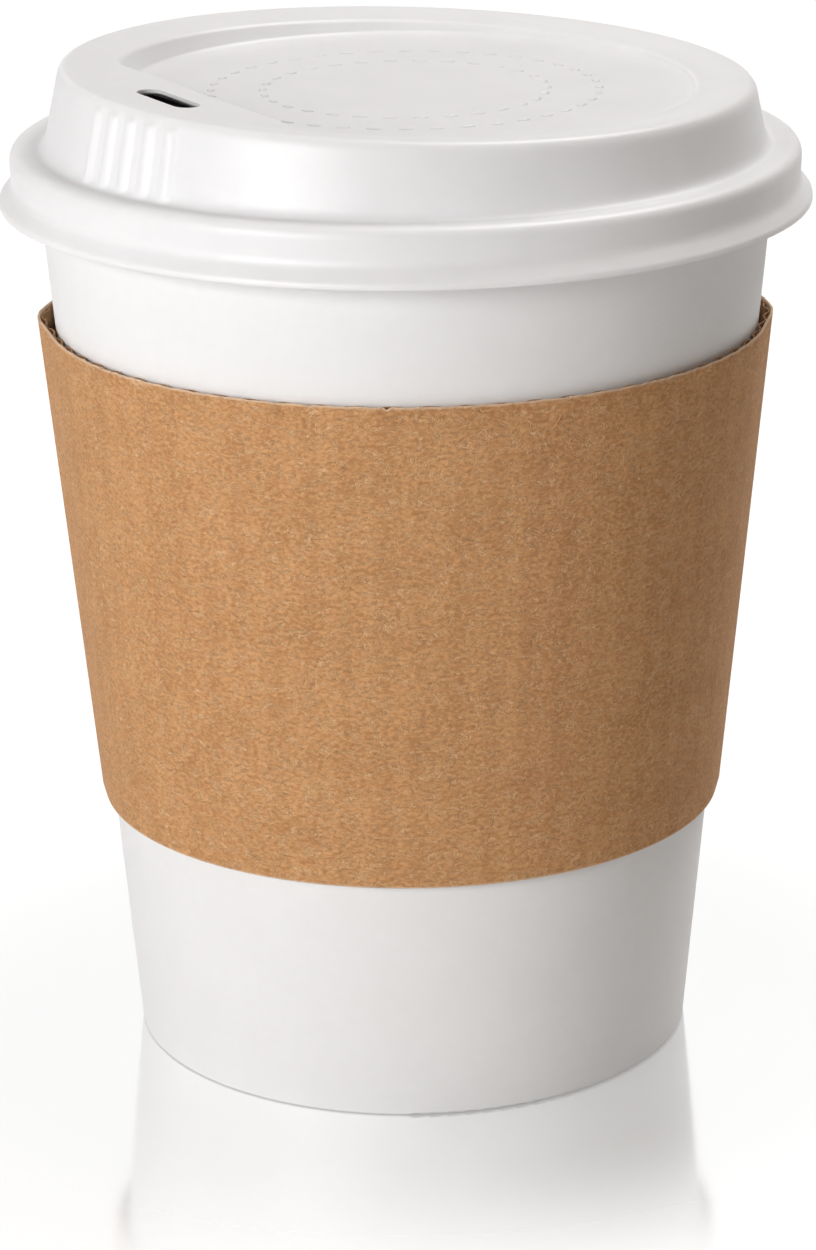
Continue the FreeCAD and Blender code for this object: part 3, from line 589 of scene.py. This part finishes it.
def form_fibres(sleeve, material):
    """Loose fibres: each is a thin three-sided thread along a bowed line that lifts off the
    liner, with its ends drawn to points. Their places come from one seeded draw."""
    draw = np.random.default_rng(FIBRE_SEED)
    count, steps, sides = sleeve.fibres, FIBRE_STEPS, FIBRE_SIDES
    azimuth = draw.uniform(0.0, 2 * math.pi, count)
    near_edge = draw.random(count) < EDGE_SHARE
    by_edge = SLEEVE_TOP - draw.gamma(1.5, 0.5, count)
    level = np.where(near_edge, by_edge, draw.uniform(34, 86, count))
    length = draw.uniform(0.5, 1.7, count)
    tilt = draw.normal(0.0, 0.45, count)
    radius = draw.uniform(0.018, 0.04, count)
    lift = draw.uniform(0.05, 0.22, count)
    named = slice(0, len(NAMED_FIBRES))
    turned, deep, length[named], tilt[named], lift[named] = NAMED_FIBRES.T
    azimuth[named] = np.radians(turned)
    level[named] = SLEEVE_TOP - deep
    radius[named] = NAMED_RADIUS
    part = np.linspace(-1.0, 1.0, steps)
    run = part[None] * length[:, None] / 2
    bend = FIBRE_BOW * length[:, None] * part[None] ** 2
    rise = level[:, None] + run * np.sin(tilt)[:, None] + bend
    low, high = sleeve_edges(sleeve)[:2]
    share = (rise - SLEEVE_FOOT) / (SLEEVE_TOP - SLEEVE_FOOT)
    wanted = azimuth[:, None] + run * np.cos(tilt)[:, None] / FRONT_MEAN
    polar = np.arctan2(high[:, 1], high[:, 0])
    order = np.argsort(polar)
    wrapped = (wanted + math.pi) % (2 * math.pi) - math.pi
    reach = (np.interp(wrapped, polar[order], np.hypot(*low.T)[order]) * (1 - share)
             + np.interp(wrapped, polar[order], np.hypot(*high.T)[order]) * share)
    bow = lift[:, None] * (1 - part[None] ** 2)
    reach = reach + LINER_INNER + LINER_BOARD - FIBRE_SUNK + bow
    thick = radius[:, None] * np.sqrt(np.clip(1 - part[None] ** 2, FIBRE_POINT, 1.0))
    corner = np.linspace(0, 2 * math.pi, sides, endpoint=False)
    around = reach[..., None] + thick[..., None] * np.cos(corner)
    above = rise[..., None] + thick[..., None] * np.sin(corner)
    wide = wrapped[..., None] + 0 * corner
    points = np.stack([around * np.cos(wide), around * np.sin(wide), above], -1) * MM
    each = steps * sides
    shift = (np.arange(count) * each)[:, None, None]
    one = np.array(grid_faces(steps, sides, round_columns=True))[:, ::-1]
    faces = (one[None] + shift).reshape(-1, 4)
    ends = np.arange(sides)
    caps = (np.stack([ends, each - 1 - ends])[None] + shift).reshape(-1, sides)
    return mesh_object("sleeve_loose_fibres", points, faces.tolist() + caps.tolist(), material)


def recess_outline(turn, inset):
    """Distance from the middle to the recess's outline, drawn in by an inset: a circle with a
    straight side towards the slot and a rounded corner at each end of that side."""
    radius, chord, corner = RECESS - inset, LEDGE - inset, RECESS_CORNER - inset
    across, ahead = np.abs(np.sin(turn)), np.cos(turn)
    side = chord - corner
    half = np.sqrt((radius - corner) ** 2 - side ** 2)
    reach = half * across + side * ahead
    bend = reach + np.sqrt(np.maximum(reach ** 2 - (radius - corner) ** 2 + corner ** 2, 0.0))
    on_bend = np.where(across * bend > half, bend, chord / np.maximum(ahead, 1e-6))
    facing = np.arctan2(across, ahead)
    return np.where(facing > np.arctan2(half, side), radius, on_bend)


def soften(corners, eases, steps):
    """Rounds a broken line of corners: at each, a parabolic arc between the two points that lie
    its eases away along the runs. Corners are arrays of (distance, height) round the lid."""
    line = [corners[0][None]]
    for before, corner, after, ease, count in zip(corners, corners[1:], corners[2:], eases, steps):
        back, on = before - corner, after - corner
        back_length = np.linalg.norm(back, axis=-1, keepdims=True)
        on_length = np.linalg.norm(on, axis=-1, keepdims=True)
        first = corner + back * np.minimum(ease[0] / back_length, EASE_LIMIT)
        last = corner + on * np.minimum(ease[1] / on_length, EASE_LIMIT)
        part = np.linspace(0.0, 1.0, count)[:, None, None]
        line.append(first * (1 - part) ** 2 + 2 * corner * part * (1 - part) + last * part ** 2)
    line.append(corners[-1][None])
    return np.concatenate(line)


def lid_columns(lid):
    """Azimuths of the lid's columns, one degree apart and closer where the ribs are."""
    start, stop = lid.rib_azimuth - FINE_HALF, lid.rib_azimuth + FINE_HALF
    fine = np.linspace(start, stop, FINE_COLUMNS)
    coarse = np.linspace(stop, start + 2 * math.pi, COARSE_COLUMNS)
    return np.concatenate([fine, coarse[1:-1]])


def rib_relief(azimuth, height, crest, lid):
    """How far the ribs stand out: a rounded ridge round each rib's azimuth, times a soft start
    at the foot of the wall and a soft end under the crest."""
    places = lid.rib_azimuth + np.linspace(-0.5, 0.5, lid.rib_count) * lid.rib_spread
    off = np.abs(azimuth[:, None] - places[None]).min(1) * WALL_RADIUS
    ridge = np.where(off < RIB_HALF, np.cos(off / RIB_HALF * math.pi / 2), 0.0) ** RIB_SHAPE
    ends = smooth_step(height, WALL_FOOT + RIB_START[0], WALL_FOOT + RIB_START[1])
    ends = ends * (1 - smooth_step(height, crest - RIB_STOP[0], crest - RIB_STOP[1]))
    return lid.rib_proud / MM * ridge[None] * ends


def lid_profile(azimuth, lid):
    """The corners of the lid's outer face round all its columns, as (distance, height), and the
    height of the crest. The crest and deck tilt by their place along x, and the recess follows
    its outline."""
    cosine = np.cos(azimuth)
    crest_radius = CREST_RADIUS / (1 - WALL_LEAN * CREST_SLOPE * cosine)
    crest = CREST_LEVEL - crest_radius * cosine * CREST_SLOPE
    land = CREST_LEVEL - LAND_RADIUS * cosine * CREST_SLOPE
    deck = CREST_LEVEL - DECK_FALL - DECK_RADIUS * cosine * CREST_SLOPE
    turn = azimuth - lid.slot_azimuth
    shoulder_radius = recess_outline(turn, 0.0)
    shoulder = CREST_LEVEL - DECK_FALL - shoulder_radius * cosine * CREST_SLOPE
    run = RECESS_LEAN * (shoulder - RECESS_FLOOR)
    foot_radius = recess_outline(turn, run)
    corners = [
        (BEAD_RADIUS + FLANGE_REACH, RIM_TOP - SKIRT_DROP),
        (BEAD_RADIUS + FLANGE_REACH, RIM_TOP - SKIRT_DROP + FLANGE_EDGE),
        (BEAD_RADIUS - GROOVE_DEPTH, RIM_TOP - GROOVE_DROP),
        (BEAD_RADIUS, BEAD_TOP),
        (WALL_RADIUS, WALL_FOOT),
        (crest_radius, crest),
        (LAND_RADIUS, land),
        (DECK_RADIUS, deck),
        (shoulder_radius, shoulder),
        (foot_radius, RECESS_FLOOR),
        (foot_radius * FLOOR_SHARE, RECESS_FLOOR),
    ]
    full = np.ones_like(azimuth)
    return [np.stack([distance * full, height * full], -1) for distance, height in corners], crest


def form_lid(lid, material):
    """The formed skin of the lid. Its outer face is one broken line of (distance, height),
    softened at its corners and carried round: flange, groove, bead, leaning wall with ribs,
    tilted crest, falling deck, recess wall and level floor. The skin is thickened inwards."""
    azimuth = lid_columns(lid)
    corners, crest = lid_profile(azimuth, lid)
    line = soften(corners, LID_EASES, LID_STEPS)
    crest_row = 1 + sum(LID_STEPS[:ARCS_BELOW_WALL])
    part = np.linspace(0.0, 1.0, WALL_ROWS + 2)[1:-1, None, None]
    wall = line[crest_row - 1] * (1 - part) + line[crest_row] * part
    line = np.concatenate([line[:crest_row], wall, line[crest_row:]])
    distance, height = line[..., 0], line[..., 1]
    outer = np.arange(len(line))[:, None] < crest_row + WALL_ROWS + LID_STEPS[ARCS_BELOW_WALL]
    distance = distance + np.where(outer, rib_relief(azimuth, height, crest[None], lid), 0.0)
    inner = np.linspace(1.0, HUB_SHARE, FLOOR_ROWS + 1)[1:, None]
    distance = np.concatenate([distance, distance[-1] * inner])
    height = np.concatenate([height, height[-1] + 0 * inner])
    flat = distance[..., None] * heading(azimuth)
    points = np.concatenate([flat, height[..., None]], -1) * MM
    rows, columns = height.shape
    faces = grid_faces(rows, columns, round_columns=True)
    points = np.concatenate([points.reshape(-1, 3), [[0.0, 0.0, RECESS_FLOOR * MM]]])
    last = (rows - 1) * columns + np.arange(columns)
    hub = np.full(columns, rows * columns)
    faces += np.stack([last, np.roll(last, -1), hub], -1).tolist()
    made = mesh_object("lid_formed_skin", points, faces, material)
    shell = made.modifiers.new("skin", "SOLIDIFY")
    shell.thickness = LID_SKIN * MM
    shell.offset = -1.0
    punch = slot_punch(lid, material)
    cut = made.modifiers.new("slot", "BOOLEAN")
    cut.object = punch
    cut.operation = "DIFFERENCE"
    cut.solver = "EXACT"
    graph = bpy.context.evaluated_depsgraph_get()
    made.data = bpy.data.meshes.new_from_object(made.evaluated_get(graph))
    made.modifiers.clear()
    bpy.data.objects.remove(punch)
    made.data.shade_smooth()
    made.data.set_sharp_from_angle(angle=math.radians(38))
    return made


def slot_punch(lid, material):
    """A closed upright bar with the slot's round-ended outline: two half circles, one at each
    end, swept through the height of the ledge."""
    half = (lid.slot_length - lid.slot_width) / 2
    turn = np.linspace(-math.pi / 2, math.pi / 2, 20)
    end = np.stack([np.cos(turn), np.sin(turn)], -1) * lid.slot_width / 2
    outline = np.concatenate([end + [half, 0.0], -end + [-half, 0.0]])
    side = heading(np.array([lid.slot_azimuth - math.pi / 2]))[0]
    out = heading(np.array([lid.slot_azimuth]))[0]
    middle = out * lid.slot_radius
    flat = middle + outline[:, :1] * side + outline[:, 1:] * out
    levels = np.array([RECESS_FLOOR - 3.0, CREST_LEVEL + 4.0]) * MM
    points = np.concatenate([np.column_stack([flat, np.full(len(flat), z)]) for z in levels])
    count = len(flat)
    faces = grid_faces(2, count, round_columns=True)
    faces += [list(range(count))[::-1], list(range(count, 2 * count))]
    return mesh_object("slot_punch", points, faces, material)


def form_pips(lid, material):
    """Plain raised beads in two rings on the lid's floor. Each is a low dome: height falls as
    the cosine of the distance from its middle."""
    centres = []
    for radius, count in PIP_RINGS:
        centres.append(radius * heading(np.linspace(0, 2 * math.pi, count, endpoint=False)))
    centres = np.concatenate(centres)
    rings, sides = PIP_ROWS, PIP_SIDES
    off = np.linspace(1.0, PIP_CAP, rings)[:, None]
    spin = np.linspace(0, 2 * math.pi, sides, endpoint=False)
    long = np.arctan2(centres[:, 1], centres[:, 0]) + math.pi / 2
    x = PIP_LONG * off * np.cos(spin)
    y = PIP_WIDE * off * np.sin(spin)
    dome = lid.pip_height / MM * np.cos(off * math.pi / 2) ** PIP_SHAPE - PIP_SUNK
    z = np.broadcast_to(dome, x.shape)
    across, ahead = np.cos(long)[:, None, None], np.sin(long)[:, None, None]
    points = np.stack([centres[:, 0, None, None] + x * across - y * ahead,
                       centres[:, 1, None, None] + x * ahead + y * across,
                       RECESS_FLOOR + z + 0 * across], -1) * MM
    each = rings * sides
    one = np.array(grid_faces(rings, sides, round_columns=True))
    first = (np.arange(len(centres)) * each)[:, None]
    faces = (one[None] + first[..., None]).reshape(-1, 4).tolist()
    caps = (first + np.arange(each - sides, each)).tolist()
    bases = (first + np.arange(sides)[::-1]).tolist()
    return mesh_object("lid_raised_pips", points, faces + caps + bases, material)


class CUP_OT_dress_cup(bpy.types.Operator):
    """Gives the wall and the base disc their coated white board"""
    bl_idname = "coffee_cup.dress_cup"
    bl_label = "Dress Cup"

    def execute(self, context):
        paper = coated_paper(context.scene.cup_looks)
        dress("cup_sidewall", paper)
        dress("cup_base_disc", paper)
        return {"FINISHED"}


class CUP_OT_wrap_sleeve(bpy.types.Operator):
    """Wraps the kraft liner round its fluting, with its lap, nick and loose fibres"""
    bl_idname = "coffee_cup.wrap_sleeve"
    bl_label = "Wrap Sleeve"

    def execute(self, context):
        sleeve = context.scene.sleeve_looks
        liner = form_liner(sleeve, kraft_board(sleeve))
        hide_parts("sleeve_liner")
        fibres = form_fibres(sleeve, kraft_thread(sleeve))
        for piece in (liner, fibres):
            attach(piece, "sleeve")
        fluting = form_fluting(sleeve, kraft_medium(sleeve))
        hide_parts("sleeve_fluting")
        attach(fluting, "sleeve")
        return {"FINISHED"}


class CUP_OT_form_lid(bpy.types.Operator):
    """Forms the lid's soft skin with its ribs, slot and raised pips"""
    bl_idname = "coffee_cup.form_lid"
    bl_label = "Form Lid"

    def execute(self, context):
        lid = context.scene.lid_looks
        plastic = satin_plastic(lid)
        skin = form_lid(lid, plastic)
        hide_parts("lid")
        pips = form_pips(lid, plastic)
        for piece in (skin, pips):
            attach(piece, "lid")
        return {"FINISHED"}


def studio_floor(stage):
    """Pale floor that turns up into its own backdrop far behind. The sweep is a flat run, a
    quarter circle and an upright run, carried along x."""
    turn = np.linspace(0.0, math.pi / 2, 24)
    bend = BEND_RADIUS * np.stack([np.sin(turn), 1 - np.cos(turn)], 1)
    run = np.concatenate([[[FLOOR_START, 0.0]], bend + [FLOOR_BEND, 0.0],
                          [[FLOOR_BEND + BEND_RADIUS, WALL_HEIGHT]]])
    across = np.linspace(-HALF_WIDTH, HALF_WIDTH, 9)
    grid = np.stack(np.broadcast_arrays(across[None], run[:, :1], run[:, 1:]), -1)
    return mesh_object("studio_floor", grid, grid_faces(*grid.shape[:2]), floor_finish(stage))


def floor_finish(stage):
    """Polished pale floor. The camera sees it white, with the contact shadow and a faint
    mirror image, and it lights the object as a plain pale floor does."""
    ground = Finish("studio_floor", Roughness=0.5, Specular_IOR_Level=0.3)
    ground.shader.inputs["Base Color"].default_value = (*stage.floor, 1.0)
    camera, seen = ground.seen_white()
    glow = ground.node("ShaderNodeEmission", None, {"Color": WHITE, "Strength": stage.glow})
    plain = Wire(ground, ground.shader.outputs[0])
    total = ground.node("ShaderNodeMixShader", None, [seen * FLOOR_WHITE_SHARE, plain, glow])
    polish = ground.node("ShaderNodeBsdfAnisotropic", None, {
        "Color": WHITE, "Roughness": MIRROR_ROUGH})
    away = ground.node("ShaderNodeVectorMath", {"operation": "LENGTH"}, [ground.place], "Value")
    near = ground.band(away, *MIRROR_FADE, 0.0, stage.mirror)
    whole = ground.node("ShaderNodeMixShader", None, [camera * near, total, polish])
    ground.links.new(whole.socket, ground.nodes["Material Output"].inputs["Surface"])
    return ground.material


def studio_world(stage):
    """Even light from all round, with white behind the floor's edge."""
    world = bpy.data.worlds.new("studio_world")
    world.use_nodes = True
    sky = Tree(world.node_tree)
    light = sky.nodes["Background"]
    light.inputs["Color"].default_value = SKY
    light.inputs["Strength"].default_value = stage.fill
    card = sky.node("ShaderNodeBackground", None, {"Color": WHITE, "Strength": 1.0})
    seen = sky.seen_white()[1]
    mix = sky.node("ShaderNodeMixShader", None, [seen, Wire(sky, light.outputs[0]), card])
    sky.links.new(mix.socket, sky.nodes["World Output"].inputs["Surface"])
    bpy.context.scene.world = world


def studio_lamp(name, power, place, aim, size, colour):
    """A square soft box that looks at a point."""
    data = bpy.data.lights.new(name, "AREA")
    data.shape = "SQUARE"
    data.size = size
    data.energy = power
    data.color = colour
    lamp = bpy.data.objects.new(name, data)
    lamp.location = place
    lamp.rotation_euler = (Vector(aim) - Vector(place)).to_track_quat("-Z", "Y").to_euler()
    bpy.context.scene.collection.objects.link(lamp)


def studio_camera(stage):
    """The photograph's viewpoint, lens and small roll."""
    data = bpy.data.cameras.new("camera")
    data.sensor_width = SENSOR_WIDTH
    data.sensor_fit = "AUTO"
    data.lens = stage.lens
    data.shift_x = SIDE_SHIFT / PHOTO_HEIGHT
    data.clip_start = NEAR_CLIP
    camera = bpy.data.objects.new("camera", data)
    place = Vector((0.0, -stage.distance, stage.height))
    look = Vector((0.0, 0.0, stage.target)) - place
    turn = look.to_track_quat("-Z", "Y").to_matrix()
    spin = turn @ Vector((0.0, 0.0, 1.0))
    camera.rotation_mode = "QUATERNION"
    camera.rotation_quaternion = Quaternion(spin, stage.roll) @ turn.to_quaternion()
    camera.location = place
    bpy.context.scene.collection.objects.link(camera)
    bpy.context.scene.camera = camera


class CUP_OT_set_stage(bpy.types.Operator):
    """Sets the floor, the lamps and the camera"""
    bl_idname = "coffee_cup.set_stage"
    bl_label = "Set Stage"

    def execute(self, context):
        stage = context.scene.stage_looks
        studio_floor(stage)
        studio_world(stage)
        for name, look in LAMPS.items():
            studio_lamp(f"{name}_lamp", getattr(stage, name), *look)
        studio_camera(stage)
        context.scene.view_settings.view_transform = "Standard"
        return {"FINISHED"}


class CUP_PT_panel(bpy.types.Panel):
    """Lists the steps and their values"""
    bl_label = "Paper Coffee Cup"
    bl_idname = "CUP_PT_panel"
    bl_space_type = "VIEW_3D"
    bl_region_type = "UI"
    bl_category = "Coffee Cup"

    def draw(self, context):
        for step, group in STEPS:
            self.layout.operator(step.bl_idname)
            values = getattr(context.scene, group)
            for name in values.__annotations__:
                self.layout.prop(values, name)


GROUPS = {
    "cup_looks": CupLooks,
    "sleeve_looks": SleeveLooks,
    "lid_looks": LidLooks,
    "stage_looks": StageLooks,
}
STEPS = (
    (CUP_OT_set_stage, "stage_looks"),
    (CUP_OT_dress_cup, "cup_looks"),
    (CUP_OT_wrap_sleeve, "sleeve_looks"),
    (CUP_OT_form_lid, "lid_looks"),
)


def register():
    for group in GROUPS.values():
        bpy.utils.register_class(group)
    for step, _ in STEPS:
        bpy.utils.register_class(step)
    bpy.utils.register_class(CUP_PT_panel)
    for name, group in GROUPS.items():
        setattr(bpy.types.Scene, name, PointerProperty(type=group))


def unregister():
    for name in GROUPS:
        delattr(bpy.types.Scene, name)
    bpy.utils.unregister_class(CUP_PT_panel)
    for step, _ in STEPS:
        bpy.utils.unregister_class(step)
    for group in GROUPS.values():
        bpy.utils.unregister_class(group)


def main():
    register()
    for name in ("set_stage", "dress_cup", "wrap_sleeve", "form_lid"):
        getattr(bpy.ops.coffee_cup, name)()


if __name__ == "__main__":
    main()
